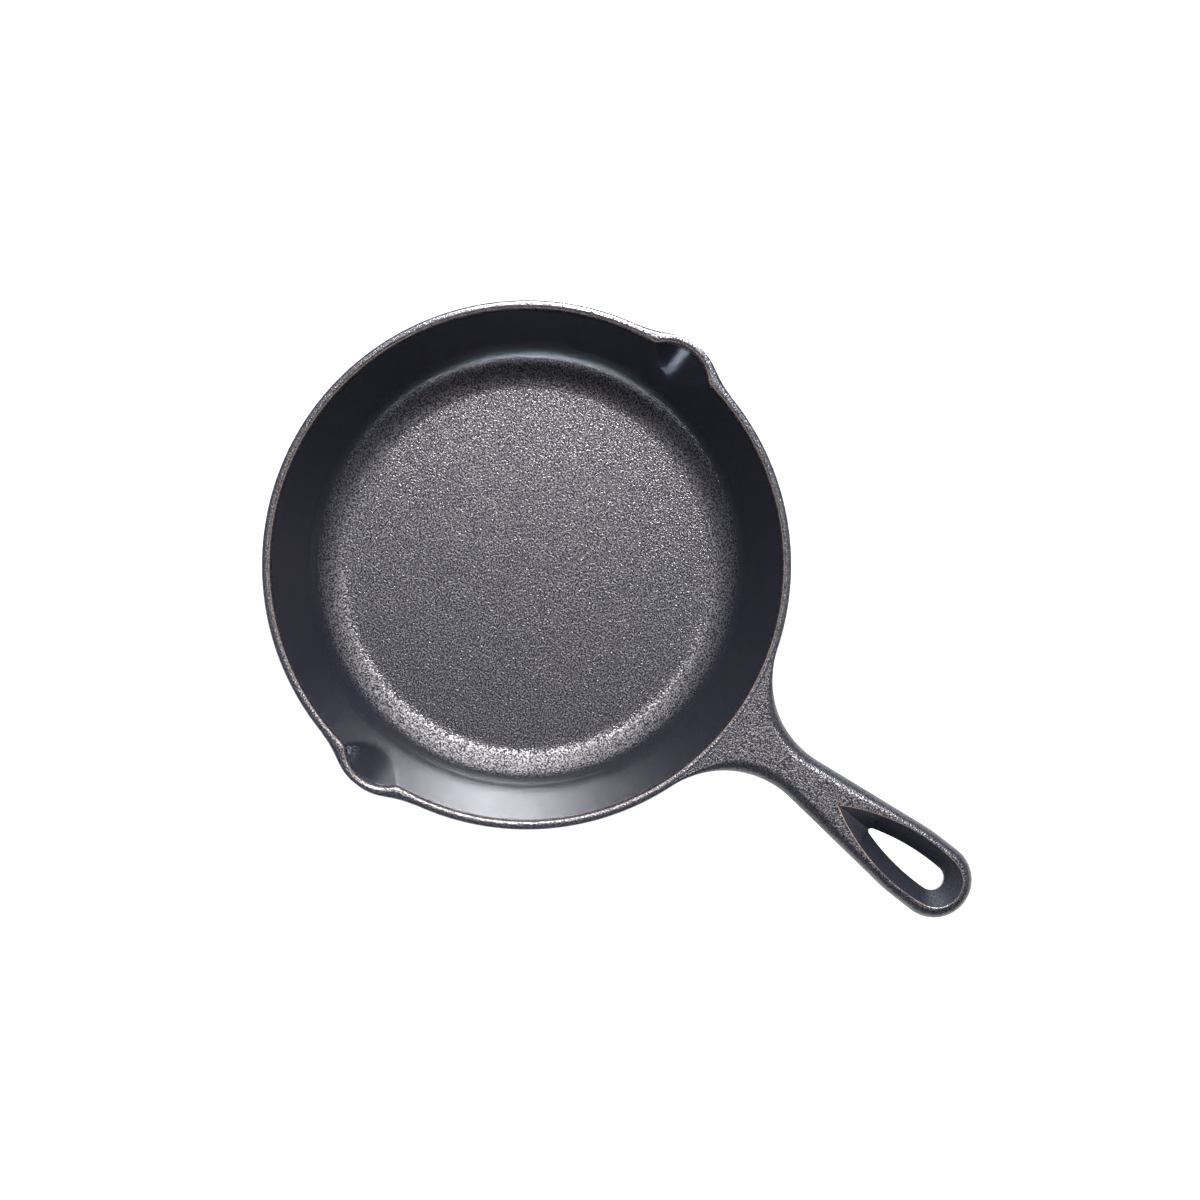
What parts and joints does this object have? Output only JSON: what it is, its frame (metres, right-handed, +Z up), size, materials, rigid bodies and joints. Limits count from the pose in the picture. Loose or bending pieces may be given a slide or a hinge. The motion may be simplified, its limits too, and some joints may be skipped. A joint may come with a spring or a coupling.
{
  "type": "skillet",
  "caption": "Shallow round cast iron frying pan with a flared wall, a pouring lip on each side and a short tapered handle with a teardrop hanging hole.",
  "frame": {"origin": "centre of the flat base", "axes": "+X towards the handle's tip, +Y towards the left pouring lip seen from above with the handle to the right, +Z up"},
  "size_m": [0.3528, 0.2406, 0.0555],
  "materials": {
    "pebbled_iron": "seasoned black cast iron with a fine pebbled sand-cast texture, satin",
    "smooth_iron": "seasoned black cast iron, smoother with a faint grain, satin"
  },
  "bodies": {
    "root": {"pan_floor": "pebbled_iron", "handle_side_wall": "smooth_iron", "far_side_wall": "smooth_iron", "left_pour_spout": "smooth_iron", "right_pour_spout": "smooth_iron", "handle_neck": "pebbled_iron", "handle_grip": "pebbled_iron"}
  },
  "joints": []
}
